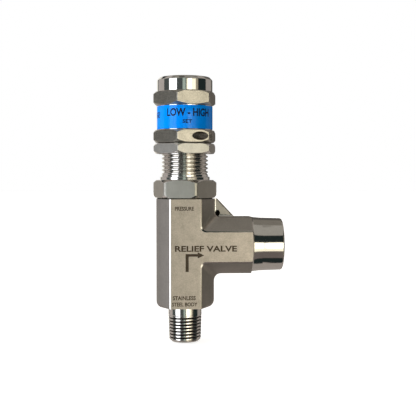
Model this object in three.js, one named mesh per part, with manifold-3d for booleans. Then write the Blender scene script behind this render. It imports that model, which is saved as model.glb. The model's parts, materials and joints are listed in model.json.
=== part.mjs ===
// Adjustable proportional relief valve, angle pattern, stainless steel.
// Millimetres, +Z up along the stem, +X along the outlet.
// The origin is the centre of the inlet thread's end face.

import * as THREE from 'three';
import { mergeVertices } from 'three/addons/utils/BufferGeometryUtils.js';
import Module from 'manifold-3d';

const wasm = await Module();
wasm.setup();

// ---------------------------------------------------------------- driving dimensions

const SIDES = 32; // facets of every turned surface, all in the same phase so that fits stay even
const DRILL_SIDES = 16;
const PAST = 1; // how far cuts run past a surface, and joined solids run into each other

// forged body: a column and a neck of one section, crossing as a T
const BODY_BOTTOM = 14.75;
const BODY_TOP = 58.95;
const COLUMN_HALF_WIDTH = 11.75;
const NECK_HALF_HEIGHT = 11.4;
const HALF_DEPTH = 11.5;
const FLAT_HALF = 6.4; // half the width of the front and back flats
const SECTION_CORNER = 13.9; // clears the section's corners
const BOTTOM_CORNER = { width: 2.3, rise: 1.8 };
const TOP_CHAMFER = { radius: 12.9, drop: 0.4 };

// male taper thread, R 1/4: 13.157 major at the gauge plane, taper 1 in 16
const INLET_END_R = 6.39;
const INLET_TAPER = 1 / 32; // radius per length
const INLET_THREAD_LENGTH = 11.5;
const INLET_NECK_R = 6.9;
const INLET_CHAMFER = 1;

// outlet, a turned boss with a female port
const OUTLET_Z = 40;
const OUTLET_END_X = 40.2;
const OUTLET_BOSS_R = 10.95;
const SHOULDER_START_X = 26.8;
const SHOULDER_END_X = 28.2;
const OUTLET_CHAMFER = 0.6;
const PORT_R = 5.7;
const PORT_DEPTH = 14;
const PORT_CHAMFER = 0.9;
const PASSAGE_R = 4;

// web with the wire hole, in the corner above the outlet
const WEB_THICKNESS = 3;
const WEB_TOP_X = 13.4;
const WEB_END_X = 20.2;
const WEB_HOLE = { x: 13.45, z: 53.1, radius: 0.9, tilt: 30 }; // tilted up towards the back, in degrees

// bores of the body, from the inlet upwards
const INLET_BORE_R = 3.2;
const INSERT_POCKET = { floor: 24, radius: 5 };
const CHAMBER = { floor: 31, radius: 6.35 };
const SEAL_BORE = { floor: 46.5, radius: 8.2 };
const BODY_THREAD = { floor: 50.5, radius: 9 };

// seat
const ORIFICE_R = 1.8;
const NOZZLE_R = 2.5;
const INSERT_RIM = { rise: 0.6, chamfer: 0.6 }; // above the chamber's floor
const INSERT_INLET = { radius: 3, depth: 1.5 }; // funnel below the orifice
const SEAT_Z = 33;
const REST_GAP = 0.05; // between pieces that rest on each other
const FIT_GAP = 0.05; // radial, between pieces that fit in each other

// stem
const STEM_R = 2.5;
const STEM_TOP = 62.1;
const STEM_HEAD = { radius: 4.6, bottom: 33.4, top: 39.4, cone: 1.2 };
const STEM_COLLAR = { radius: 3.5, bottom: 42, top: 44.3 };
const DISC = { radius: 3.9, thickness: 2.5 };
const RETAINER = { radius: 5.4, mouth: 2.9, bottom: 32.4, top: 38.5 };

// stem seals in the bonnet's lower end
const GLAND_PLUG = { radius: 4.75, bore: 2.65, length: 2.25 };
const GLAND_R = 4.3;
const GLAND_FLOOR = 49.2;
const GLAND_ROOF = 53.2;
const STEM_BACKUP_HEIGHT = 0.9;
const QUAD_RING_HEIGHT = 2;

// bonnet
const BONNET_BOTTOM = 46.8;
const BONNET_PLUG_R = 8.12;
const BONNET_GROOVE = { bottom: 47.6, top: 50, radius: 6.9 };
const BONNET_LOWER_THREAD = { radius: 8.95, bottom: 50.6, top: 58.2 };
const BONNET_RELIEF_R = 8.4;
const BONNET_HEX = { bottom: 59.15, top: 66.6, turn: 18.8, cornerR: 13.2 };
const BONNET_COLLAR = { radius: 10.25, top: 68 };
const BONNET_THREAD_R = 9.525; // 3/4-16 UNF
const BONNET_TOP = 96;
const BONNET_TOP_CHAMFER = 1;
const SPRING_BORE = { floor: 58, radius: 6.75 };
const STEM_GUIDE_R = 2.6;

// O-rings and their backup rings
const BONNET_RING = { centre: 7.55, section: 1.2, z: 48.3 };
const BONNET_BACKUP = { inner: 6.95, outer: 8.12, bottom: 49.05, top: 49.9 };
const INSERT_GROOVE = { bottom: 26, top: 28.4, radius: 3.7 };
const INSERT_RING = { centre: 4.35, section: 1.2, z: 26.7 };
const INSERT_BACKUP = { inner: 3.75, outer: 4.93, bottom: 27.45, top: 28.3 };

// spring and its supports
const SPRING = { mean: 5.3, wire: 1, turns: 11, bottom: 63.1, top: 99.3 };
const SUPPORT_R = 6.4;
const SPIGOT_R = 4.1;
const LOWER_SUPPORT = { bottom: 60.2, seat: 63, spigotTop: 67 };
const UPPER_SUPPORT = { spigotBottom: 95.7, seat: 99.4, flangeTop: 101.6, top: 103.1 };
const DOME_R = 2;

// cap, its label and the lock nut below it
const CAP_BORE_R = 9.6;
const CAP_BOTTOM = 81.9;
const CAP_ROOF = 103.2;
const CAP_TOP = 108.7;
const CAP_BARREL_R = 11.2;
const CAP_HEAD_R = 11.4;
const CAP_HEAD_ROUND = 2;
const CAP_TURN = -14.5;
const CAP_LOWER_HEX = { bottom: CAP_BOTTOM, top: 87, turn: CAP_TURN, cornerR: 13.38 };
const CAP_UPPER_HEX = { bottom: 97, top: 102.6, turn: CAP_TURN, cornerR: 13.38 };
const WIRE_HOLE = { radius: 1.7, reach: 11.5, z: 84.4, corner: CAP_TURN + 60, length: 20 };
const LABEL = { inner: 11.25, outer: 11.48, bottom: 87.1, top: 96.9 };
const LOCK_NUT = { bottom: 77.4, top: 81.5, turn: CAP_TURN + 0.5, cornerR: 13.38 };

// every hexagon, its corners trimmed to cornerR
const HEX_ACROSS_FLATS = 23.2;
const HEX_CHAMFER = Math.PI / 6;
const HEX_FACE_R = 11.4; // of the round end face inside the chamfer

// ---------------------------------------------------------------- building blocks

function signedVolume(geometry) {
  const position = geometry.attributes.position;
  const index = geometry.index.array;
  const [a, b, c] = [new THREE.Vector3(), new THREE.Vector3(), new THREE.Vector3()];
  let volume = 0;
  for (let i = 0; i < index.length; i += 3) {
    a.fromBufferAttribute(position, index[i]);
    b.fromBufferAttribute(position, index[i + 1]);
    c.fromBufferAttribute(position, index[i + 2]);
    volume += a.dot(b.cross(c)) / 6;
  }
  return volume;
}

// Shared vertices merged, slivers left out and faces pointing out.
function closed(source) {
  const geometry = source.clone();
  geometry.deleteAttribute('normal');
  geometry.deleteAttribute('uv');
  const merged = mergeVertices(geometry);
  const index = [];
  for (let i = 0; i < merged.index.count; i += 3) {
    const [a, b, c] = [0, 1, 2].map((k) => merged.index.getX(i + k));
    if (a !== b && b !== c && c !== a) index.push(a, b, c);
  }
  merged.setIndex(index);
  if (signedVolume(merged) < 0) merged.setIndex(index.reverse());
  return merged;
}

function solid(source) {
  const geometry = closed(source);
  return new wasm.Manifold(new wasm.Mesh({
    numProp: 3,
    vertProperties: new Float32Array(geometry.attributes.position.array),
    triVerts: new Uint32Array(geometry.index.array),
  }));
}

function geometryOf(manifold) {
  const mesh = manifold.getMesh();
  const geometry = new THREE.BufferGeometry();
  geometry.setAttribute('position', new THREE.BufferAttribute(mesh.vertProperties, 3));
  geometry.setIndex(new THREE.BufferAttribute(mesh.triVerts, 1));
  return geometry;
}

// A closed profile of [radius, height] points, turned about +Z.
function turned(profile) {
  const points = profile.map(([radius, height]) => new THREE.Vector2(radius, height));
  const onAxis = profile[0][0] === 0 && profile.at(-1)[0] === 0;
  if (!onAxis) points.push(points[0].clone());
  return new THREE.LatheGeometry(points, SIDES).rotateX(Math.PI / 2);
}

// A rectangular ring about +Z.
function ring(inner, outer, bottom, top) {
  return turned([[inner, bottom], [outer, bottom], [outer, top], [inner, top]]);
}

// The same, laid along +X at the outlet's height.
function turnedAlongOutlet(profile) {
  return turned(profile).rotateY(Math.PI / 2).translate(0, 0, OUTLET_Z);
}

function bore(radius, bottom, top) {
  return solid(turned([[0, bottom], [radius, bottom], [radius, top], [0, top]]));
}

function circleSection(centre, radius, height, steps) {
  return Array.from({ length: steps }, (_, k) => {
    const angle = (2 * Math.PI * k) / steps;
    return [centre + radius * Math.cos(angle), height + radius * Math.sin(angle)];
  });
}

function oRing({ centre, section, z }) {
  const steps = 8;
  return turned(circleSection(centre, section / 2, z, steps));
}

// A hexagon with a corner at `turn` degrees from -Y towards +X, its ends chamfered on a lathe.
function hexagon({ bottom, top, turn, cornerR }) {
  const sharpR = HEX_ACROSS_FLATS / 2 / Math.cos(Math.PI / 6);
  const outline = Array.from({ length: 6 }, (_, k) => {
    const angle = THREE.MathUtils.degToRad(turn + 60 * k);
    return new THREE.Vector2(sharpR * Math.sin(angle), -sharpR * Math.cos(angle));
  });
  const prism = new THREE.ExtrudeGeometry(new THREE.Shape(outline), {
    depth: top - bottom, bevelEnabled: false,
  }).translate(0, 0, bottom);
  const rise = (cornerR - HEX_FACE_R) * Math.tan(HEX_CHAMFER);
  const blank = turned([
    [0, bottom], [HEX_FACE_R, bottom], [cornerR, bottom + rise],
    [cornerR, top - rise], [HEX_FACE_R, top], [0, top],
  ]);
  return solid(prism).intersect(solid(blank));
}

// ---------------------------------------------------------------- body

function shapeOf(points) {
  return new THREE.Shape(points.map(([x, y]) => new THREE.Vector2(x, y)));
}

// Eight-sided section: flats front and back, slanted edges, and sides at the given half width.
function forgedSection(half) {
  const shoulder = HALF_DEPTH - (half - FLAT_HALF);
  return shapeOf([
    [FLAT_HALF, -HALF_DEPTH], [half, -shoulder], [half, shoulder], [FLAT_HALF, HALF_DEPTH],
    [-FLAT_HALF, HALF_DEPTH], [-half, shoulder], [-half, -shoulder], [-FLAT_HALF, -HALF_DEPTH],
  ]);
}

function forgedBar(half, length) {
  return new THREE.ExtrudeGeometry(forgedSection(half), { depth: length, bevelEnabled: false });
}

// Outline seen from the front: the lower corners are cut at a slant that runs on past the sides.
function columnFront() {
  const inner = COLUMN_HALF_WIDTH - BOTTOM_CORNER.width;
  const outer = COLUMN_HALF_WIDTH + PAST;
  const slantTop = BODY_BOTTOM + BOTTOM_CORNER.rise * (1 + PAST / BOTTOM_CORNER.width);
  const outline = shapeOf([
    [-inner, BODY_BOTTOM], [inner, BODY_BOTTOM], [outer, slantTop],
    [outer, BODY_TOP + PAST], [-outer, BODY_TOP + PAST], [-outer, slantTop],
  ]);
  const depth = 2 * (HALF_DEPTH + PAST);
  return new THREE.ExtrudeGeometry(outline, { depth, bevelEnabled: false })
    .rotateX(Math.PI / 2).translate(0, depth / 2, 0);
}

function column() {
  const bar = forgedBar(COLUMN_HALF_WIDTH, BODY_TOP - BODY_BOTTOM).translate(0, 0, BODY_BOTTOM);
  const envelope = turned([
    [0, BODY_BOTTOM], [SECTION_CORNER, BODY_BOTTOM], [SECTION_CORNER, BODY_TOP - TOP_CHAMFER.drop],
    [TOP_CHAMFER.radius, BODY_TOP], [0, BODY_TOP],
  ]);
  return solid(bar).intersect(solid(envelope)).intersect(solid(columnFront()));
}

function neck() {
  // the bar's X side turns up to +Z and its length lies along +X
  const bar = forgedBar(NECK_HALF_HEIGHT, OUTLET_END_X).rotateY(Math.PI / 2).translate(0, 0, OUTLET_Z);
  const envelope = turnedAlongOutlet([
    [0, 0], [SECTION_CORNER, 0], [SECTION_CORNER, SHOULDER_START_X],
    [OUTLET_BOSS_R, SHOULDER_END_X], [OUTLET_BOSS_R, OUTLET_END_X - OUTLET_CHAMFER],
    [OUTLET_BOSS_R - OUTLET_CHAMFER, OUTLET_END_X], [0, OUTLET_END_X],
  ]);
  return solid(bar).intersect(solid(envelope));
}

// Drawn in XY and stood up into the XZ plane, with its foot sunk into the column and the neck.
function web() {
  const foot = OUTLET_Z + NECK_HALF_HEIGHT - PAST;
  const inner = COLUMN_HALF_WIDTH - PAST;
  const outline = shapeOf([
    [inner, foot], [WEB_END_X + PAST, foot], [WEB_TOP_X, BODY_TOP], [inner, BODY_TOP],
  ]);
  const plate = new THREE.ExtrudeGeometry(outline, { depth: WEB_THICKNESS, bevelEnabled: false });
  return solid(plate.rotateX(Math.PI / 2).translate(0, WEB_THICKNESS / 2, 0));
}

// Through the web from front to back, climbing from its height on the front face.
function webHole() {
  const length = 2 * WEB_THICKNESS;
  const drill = new THREE.CylinderGeometry(WEB_HOLE.radius, WEB_HOLE.radius, length, DRILL_SIDES);
  drill.rotateX(THREE.MathUtils.degToRad(WEB_HOLE.tilt));
  const climb = (WEB_THICKNESS / 2) * Math.tan(THREE.MathUtils.degToRad(WEB_HOLE.tilt));
  return solid(drill.translate(WEB_HOLE.x, 0, WEB_HOLE.z + climb));
}

function inletStub() {
  const rootR = INLET_END_R + INLET_THREAD_LENGTH * INLET_TAPER;
  return solid(turned([
    [0, 0], [INLET_END_R - INLET_CHAMFER, 0], [INLET_END_R, INLET_CHAMFER],
    [rootR, INLET_THREAD_LENGTH], [INLET_NECK_R, BODY_BOTTOM + PAST], [0, BODY_BOTTOM + PAST],
  ]));
}

function outletCut() {
  const floor = OUTLET_END_X - PORT_DEPTH;
  return solid(turnedAlongOutlet([
    [0, 0], [PASSAGE_R, 0], [PASSAGE_R, floor], [PORT_R, floor + 1],
    [PORT_R, OUTLET_END_X - PORT_CHAMFER], [PORT_R + PORT_CHAMFER, OUTLET_END_X],
    [PORT_R + PORT_CHAMFER, OUTLET_END_X + PAST], [0, OUTLET_END_X + PAST],
  ]));
}

function boreCut() {
  return solid(turned([
    [0, -PAST], [INLET_BORE_R, -PAST], [INLET_BORE_R, INSERT_POCKET.floor],
    [INSERT_POCKET.radius, INSERT_POCKET.floor], [INSERT_POCKET.radius, CHAMBER.floor],
    [CHAMBER.radius, CHAMBER.floor], [CHAMBER.radius, SEAL_BORE.floor],
    [SEAL_BORE.radius, SEAL_BORE.floor], [SEAL_BORE.radius, BODY_THREAD.floor],
    [BODY_THREAD.radius, BODY_THREAD.floor], [BODY_THREAD.radius, BODY_TOP + PAST],
    [0, BODY_TOP + PAST],
  ]));
}

function body() {
  const forging = column().add(neck()).add(web()).add(inletStub());
  return geometryOf(forging.subtract(boreCut()).subtract(outletCut()).subtract(webHole()));
}

// ---------------------------------------------------------------- seat

function seatInsert() {
  const outer = INSERT_POCKET.radius - FIT_GAP;
  const bottom = INSERT_POCKET.floor + REST_GAP;
  const top = CHAMBER.floor + INSERT_RIM.rise;
  return turned([
    [INSERT_INLET.radius, bottom], [outer, bottom],
    [outer, INSERT_GROOVE.bottom], [INSERT_GROOVE.radius, INSERT_GROOVE.bottom],
    [INSERT_GROOVE.radius, INSERT_GROOVE.top], [outer, INSERT_GROOVE.top],
    [outer, CHAMBER.floor], [outer - INSERT_RIM.chamfer, top], [NOZZLE_R, top],
    [NOZZLE_R, SEAT_Z], [ORIFICE_R, SEAT_Z], [ORIFICE_R, bottom + INSERT_INLET.depth],
  ]);
}

function seatDisc() {
  const bottom = SEAT_Z + REST_GAP;
  return turned([
    [0, bottom], [DISC.radius, bottom], [DISC.radius, bottom + DISC.thickness],
    [0, bottom + DISC.thickness],
  ]);
}

function discRetainer() {
  const step = SEAT_Z;
  const chamfer = 0.5;
  return turned([
    [RETAINER.mouth, RETAINER.bottom], [RETAINER.radius - chamfer, RETAINER.bottom],
    [RETAINER.radius, RETAINER.bottom + chamfer], [RETAINER.radius, RETAINER.top],
    [STEM_HEAD.radius + FIT_GAP, RETAINER.top], [STEM_HEAD.radius + FIT_GAP, step],
    [RETAINER.mouth, step],
  ]);
}

// ---------------------------------------------------------------- stem and its seals

function stem() {
  const pocketR = DISC.radius + FIT_GAP;
  const pocketRoof = SEAT_Z + DISC.thickness + 2 * REST_GAP;
  const chamfer = 0.5;
  return turned([
    [0, pocketRoof], [pocketR, pocketRoof], [pocketR, STEM_HEAD.bottom],
    [STEM_HEAD.radius, STEM_HEAD.bottom], [STEM_HEAD.radius, STEM_HEAD.top],
    [STEM_R, STEM_HEAD.top + STEM_HEAD.cone], [STEM_R, STEM_COLLAR.bottom],
    [STEM_COLLAR.radius, STEM_COLLAR.bottom], [STEM_COLLAR.radius, STEM_COLLAR.top],
    [STEM_R, STEM_COLLAR.top], [STEM_R, STEM_TOP - chamfer], [STEM_R - chamfer, STEM_TOP],
    [0, STEM_TOP],
  ]);
}

function glandRetainer() {
  const bottom = BONNET_BOTTOM + REST_GAP;
  return ring(GLAND_PLUG.bore, GLAND_PLUG.radius, bottom, bottom + GLAND_PLUG.length);
}

function stemBackupRing(bottom) {
  return ring(STEM_R + FIT_GAP, GLAND_R - FIT_GAP, bottom, bottom + STEM_BACKUP_HEIGHT);
}

// Four-lobed section: each side dips between two lobes.
function stemQuadRing(bottom) {
  const inner = STEM_R + FIT_GAP;
  const outer = GLAND_R - FIT_GAP;
  const top = bottom + QUAD_RING_HEIGHT;
  const middleR = (inner + outer) / 2;
  const middleZ = (bottom + top) / 2;
  const dip = 0.35;
  return turned([
    [inner, bottom], [middleR, bottom + dip], [outer, bottom], [outer - dip, middleZ],
    [outer, top], [middleR, top - dip], [inner, top], [inner + dip, middleZ],
  ]);
}

// ---------------------------------------------------------------- bonnet

function bonnetTube() {
  return solid(turned([
    [GLAND_PLUG.radius + FIT_GAP, BONNET_BOTTOM], [BONNET_PLUG_R, BONNET_BOTTOM],
    [BONNET_PLUG_R, BONNET_GROOVE.bottom], [BONNET_GROOVE.radius, BONNET_GROOVE.bottom],
    [BONNET_GROOVE.radius, BONNET_GROOVE.top], [BONNET_PLUG_R, BONNET_GROOVE.top],
    [BONNET_PLUG_R, BONNET_LOWER_THREAD.bottom], [BONNET_LOWER_THREAD.radius, BONNET_LOWER_THREAD.bottom],
    [BONNET_LOWER_THREAD.radius, BONNET_LOWER_THREAD.top], [BONNET_RELIEF_R, BONNET_LOWER_THREAD.top],
    [BONNET_RELIEF_R, BONNET_HEX.bottom + PAST], [BONNET_COLLAR.radius, BONNET_HEX.bottom + PAST],
    [BONNET_COLLAR.radius, BONNET_COLLAR.top], [BONNET_THREAD_R, BONNET_COLLAR.top],
    [BONNET_THREAD_R, BONNET_TOP - BONNET_TOP_CHAMFER],
    [BONNET_THREAD_R - BONNET_TOP_CHAMFER, BONNET_TOP],
    [SPRING_BORE.radius, BONNET_TOP], [SPRING_BORE.radius, SPRING_BORE.floor],
    [STEM_GUIDE_R, SPRING_BORE.floor], [STEM_GUIDE_R, GLAND_ROOF], [GLAND_R, GLAND_ROOF],
    [GLAND_R, GLAND_FLOOR], [GLAND_PLUG.radius + FIT_GAP, GLAND_FLOOR],
  ]));
}

function bonnet() {
  const middle = (BONNET_HEX.bottom + BONNET_HEX.top) / 2;
  const hollow = bore(BONNET_RELIEF_R, BONNET_HEX.bottom - PAST, middle);
  return geometryOf(hexagon(BONNET_HEX).subtract(hollow).add(bonnetTube())
    .subtract(bore(SPRING_BORE.radius, SPRING_BORE.floor, BONNET_TOP + PAST)));
}

// ---------------------------------------------------------------- spring and supports

// Wire centre line: closed turns at both ends and an even pitch between them.
class SpringPath extends THREE.Curve {
  getPoint(share, target = new THREE.Vector3()) {
    const turn = share * SPRING.turns;
    const angle = 2 * Math.PI * turn;
    const low = SPRING.bottom + SPRING.wire;
    const high = SPRING.top - SPRING.wire;
    const closedPitch = 2 * SPRING.wire + 0.1;
    const openPitch = (high - low - 2 * closedPitch) / (SPRING.turns - 2);
    const lastOpen = Math.min(Math.max(turn - 1, 0), SPRING.turns - 2);
    const closedTurns = Math.min(turn, 1) + Math.max(turn - (SPRING.turns - 1), 0);
    const height = low + closedPitch * closedTurns + openPitch * lastOpen;
    return target.set(SPRING.mean * Math.cos(angle), SPRING.mean * Math.sin(angle), height);
  }
}

function spring() {
  const wireSides = 6;
  const stepsPerTurn = 10;
  const section = new THREE.Shape(Array.from({ length: wireSides }, (_, k) => {
    const angle = (2 * Math.PI * k) / wireSides;
    return new THREE.Vector2(SPRING.wire * Math.cos(angle), SPRING.wire * Math.sin(angle));
  }));
  return new THREE.ExtrudeGeometry(section, {
    steps: SPRING.turns * stepsPerTurn, extrudePath: new SpringPath(), bevelEnabled: false,
  });
}

function lowerSpringSupport() {
  const chamfer = 0.8;
  const socketRoof = STEM_TOP + REST_GAP;
  return turned([
    [0, socketRoof], [STEM_R + FIT_GAP, socketRoof], [STEM_R + FIT_GAP, LOWER_SUPPORT.bottom],
    [SUPPORT_R - chamfer, LOWER_SUPPORT.bottom], [SUPPORT_R, LOWER_SUPPORT.bottom + chamfer],
    [SUPPORT_R, LOWER_SUPPORT.seat], [SPIGOT_R, LOWER_SUPPORT.seat],
    [SPIGOT_R, LOWER_SUPPORT.spigotTop - chamfer], [SPIGOT_R - chamfer, LOWER_SUPPORT.spigotTop],
    [0, LOWER_SUPPORT.spigotTop],
  ]);
}

function upperSpringSupport() {
  const chamfer = 0.8;
  return turned([
    [0, UPPER_SUPPORT.spigotBottom], [SPIGOT_R - chamfer, UPPER_SUPPORT.spigotBottom],
    [SPIGOT_R, UPPER_SUPPORT.spigotBottom + chamfer], [SPIGOT_R, UPPER_SUPPORT.seat],
    [SUPPORT_R, UPPER_SUPPORT.seat], [SUPPORT_R, UPPER_SUPPORT.flangeTop],
    [DOME_R, UPPER_SUPPORT.top], [0, UPPER_SUPPORT.top],
  ]);
}

// ---------------------------------------------------------------- cap, label, lock nut

function capBlank() {
  const roundSteps = 4;
  const round = Array.from({ length: roundSteps + 1 }, (_, k) => {
    const angle = (Math.PI / 2) * (k / roundSteps);
    return [
      CAP_HEAD_R - CAP_HEAD_ROUND * (1 - Math.cos(angle)),
      CAP_TOP - CAP_HEAD_ROUND * (1 - Math.sin(angle)),
    ];
  });
  return solid(turned([
    [0, CAP_BOTTOM + PAST], [CAP_BARREL_R, CAP_BOTTOM + PAST],
    [CAP_BARREL_R, CAP_UPPER_HEX.bottom + PAST], [CAP_HEAD_R, CAP_UPPER_HEX.bottom + PAST],
    ...round, [0, CAP_TOP],
  ]));
}

// Drilled across one corner of the lower hex, square to the corner's own direction.
function wireHole() {
  const angle = THREE.MathUtils.degToRad(WIRE_HOLE.corner);
  const { radius, reach, length, z } = WIRE_HOLE;
  const drill = new THREE.CylinderGeometry(radius, radius, length, DRILL_SIDES);
  drill.rotateZ(Math.PI / 2).rotateZ(angle);
  drill.translate(reach * Math.sin(angle), -reach * Math.cos(angle), z);
  return solid(drill);
}

function cap() {
  const blank = capBlank().add(hexagon(CAP_LOWER_HEX)).add(hexagon(CAP_UPPER_HEX));
  return geometryOf(blank.subtract(bore(CAP_BORE_R, CAP_BOTTOM - PAST, CAP_ROOF)).subtract(wireHole()));
}

function capLabel() {
  return ring(LABEL.inner, LABEL.outer, LABEL.bottom, LABEL.top);
}

function lockNut() {
  const hole = bore(CAP_BORE_R, LOCK_NUT.bottom - PAST, LOCK_NUT.top + PAST);
  return geometryOf(hexagon(LOCK_NUT).subtract(hole));
}

// ---------------------------------------------------------------- assembly

const STEEL = { color: 0xaaa091, roughness: 0.4, metalness: 1 };
const TURNED_STEEL = { color: 0xb8b2a6, roughness: 0.18, metalness: 1 };
const SPRING_STEEL = { color: 0x8f8c86, roughness: 0.3, metalness: 1 };
const SOFT_SEAL = { color: 0x1d1c1b, roughness: 0.6, metalness: 0 };
const PTFE = { color: 0xe8e5dc, roughness: 0.5, metalness: 0 };
const BLUE_BAND = { color: 0x0f86f5, roughness: 0.25, metalness: 0 };

const group = new THREE.Group();

function add(name, geometry, finish) {
  const mesh = new THREE.Mesh(closed(geometry), new THREE.MeshStandardMaterial(finish));
  mesh.name = name;
  group.add(mesh);
}

const lowerBackupBottom = GLAND_FLOOR + REST_GAP;
const quadRingBottom = lowerBackupBottom + STEM_BACKUP_HEIGHT + REST_GAP;
const upperBackupBottom = quadRingBottom + QUAD_RING_HEIGHT + REST_GAP;

add('body', body(), STEEL);
add('seat_insert', seatInsert(), TURNED_STEEL);
add('seat_insert_o_ring', oRing(INSERT_RING), SOFT_SEAL);
add('seat_insert_backup_ring',
  ring(INSERT_BACKUP.inner, INSERT_BACKUP.outer, INSERT_BACKUP.bottom, INSERT_BACKUP.top), PTFE);
add('seat_disc', seatDisc(), SOFT_SEAL);
add('disc_retainer', discRetainer(), TURNED_STEEL);
add('stem', stem(), TURNED_STEEL);
add('gland_retainer', glandRetainer(), TURNED_STEEL);
add('stem_backup_ring_lower', stemBackupRing(lowerBackupBottom), PTFE);
add('stem_quad_ring', stemQuadRing(quadRingBottom), SOFT_SEAL);
add('stem_backup_ring_upper', stemBackupRing(upperBackupBottom), PTFE);
add('bonnet', bonnet(), STEEL);
add('bonnet_o_ring', oRing(BONNET_RING), SOFT_SEAL);
add('bonnet_backup_ring',
  ring(BONNET_BACKUP.inner, BONNET_BACKUP.outer, BONNET_BACKUP.bottom, BONNET_BACKUP.top), PTFE);
add('lower_spring_support', lowerSpringSupport(), TURNED_STEEL);
add('spring', spring(), SPRING_STEEL);
add('upper_spring_support', upperSpringSupport(), TURNED_STEEL);
add('cap', cap(), TURNED_STEEL);
add('cap_label', capLabel(), BLUE_BAND);
add('lock_nut', lockNut(), TURNED_STEEL);

export default group;
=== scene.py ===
"""Pressure relief valve: the detailed look of every piece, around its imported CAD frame.

Shapes are worked out in millimetres in the row frame (+Z up the stem, +X out of the outlet) and
scaled to metres when their mesh is made. Angles around +Z are measured from -Y towards +X.
"""

import json
import math

import bmesh
import bpy
import numpy as np
from mathutils import Matrix, Vector

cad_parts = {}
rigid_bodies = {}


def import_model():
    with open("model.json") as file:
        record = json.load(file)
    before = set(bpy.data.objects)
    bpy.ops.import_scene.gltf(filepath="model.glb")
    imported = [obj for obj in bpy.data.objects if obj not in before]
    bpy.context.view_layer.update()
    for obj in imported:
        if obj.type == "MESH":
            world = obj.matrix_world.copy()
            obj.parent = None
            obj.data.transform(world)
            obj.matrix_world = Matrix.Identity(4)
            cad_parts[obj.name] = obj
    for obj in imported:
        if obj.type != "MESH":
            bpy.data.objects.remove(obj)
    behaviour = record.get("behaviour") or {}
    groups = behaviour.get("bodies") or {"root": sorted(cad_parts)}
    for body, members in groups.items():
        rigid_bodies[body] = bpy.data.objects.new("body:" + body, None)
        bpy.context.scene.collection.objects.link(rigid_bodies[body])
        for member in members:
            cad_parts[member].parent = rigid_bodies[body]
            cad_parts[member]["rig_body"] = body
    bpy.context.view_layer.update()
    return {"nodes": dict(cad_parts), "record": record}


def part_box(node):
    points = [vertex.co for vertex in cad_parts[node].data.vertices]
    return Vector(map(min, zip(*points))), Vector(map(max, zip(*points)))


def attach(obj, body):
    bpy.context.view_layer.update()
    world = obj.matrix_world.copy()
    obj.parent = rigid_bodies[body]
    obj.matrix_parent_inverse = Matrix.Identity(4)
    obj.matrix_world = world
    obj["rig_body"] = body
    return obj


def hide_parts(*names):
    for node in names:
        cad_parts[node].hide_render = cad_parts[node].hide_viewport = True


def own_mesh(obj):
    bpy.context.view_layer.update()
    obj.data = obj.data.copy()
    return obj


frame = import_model()

MM = 0.001
FULL_TURN = 2 * np.pi

# ---------------------------------------------------------------- places taken from the frame


def span(node, axis):
    """Lowest and highest coordinate of a CAD node along an axis, in millimetres."""
    low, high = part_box(node)
    return low[axis] / MM, high[axis] / MM


X, Y, Z = 0, 1, 2
OUTLET_END = span("body", X)[1]
BODY_TOP = span("body", Z)[1]
HALF_DEPTH = span("body", Y)[1]
HALF_WIDTH = -span("body", X)[0]
NECK_HALF_HEIGHT = 11.4
BONNET_BOTTOM, BONNET_TOP = span("bonnet", Z)
CAP_BOTTOM, CAP_TOP = span("cap", Z)
LABEL_BOTTOM, LABEL_TOP = span("cap_label", Z)
LABEL_RADIUS = span("cap_label", X)[1]
NUT_BOTTOM, NUT_TOP = span("lock_nut", Z)
SPRING_BOTTOM, SPRING_TOP = span("spring", Z)
OUTLET_Z = 40.0

# ---------------------------------------------------------------- mesh building


def rounded(corners, steps=4):
    """Fillets a profile. A corner is (a, b) or (a, b, radius), each a number or one value per column.

    Returns two arrays of one row per point and one column per angle.
    """
    columns = max(np.size(value) for corner in corners for value in corner[:2])
    points = [np.array([np.broadcast_to(c[0], columns), np.broadcast_to(c[1], columns)], float)
              for c in corners]
    rows = []
    for i, here in enumerate(points):
        radius = corners[i][2] if len(corners[i]) > 2 else 0
        if i in (0, len(points) - 1) or not radius:
            rows.append(here)
            continue
        before, after = points[i - 1] - here, points[i + 1] - here
        length_a, length_b = (np.maximum(np.linalg.norm(side, axis=0), 1e-6) for side in (before, after))
        before, after = before / length_a, after / length_b
        turn = np.pi - np.arccos(np.clip((before * after).sum(0), -1, 1))
        reach = np.minimum(radius * np.tan(turn / 2), 0.48 * np.minimum(length_a, length_b))
        start, end, weight = here + before * reach, here + after * reach, np.cos(turn / 2)
        for k in range(steps + 1):
            t = k / steps
            a, b, c = (1 - t) ** 2, 2 * t * (1 - t) * weight, t ** 2
            rows.append((a * start + b * here + c * end) / (a + b + c))
    rows = np.array(rows)
    return rows[:, 0], rows[:, 1]


def closed_profile(corners, steps=4):
    """The same for a loop: its first corner is the start of its straight first side."""
    return rounded(list(corners) + [corners[0][:2]], steps)


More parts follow.
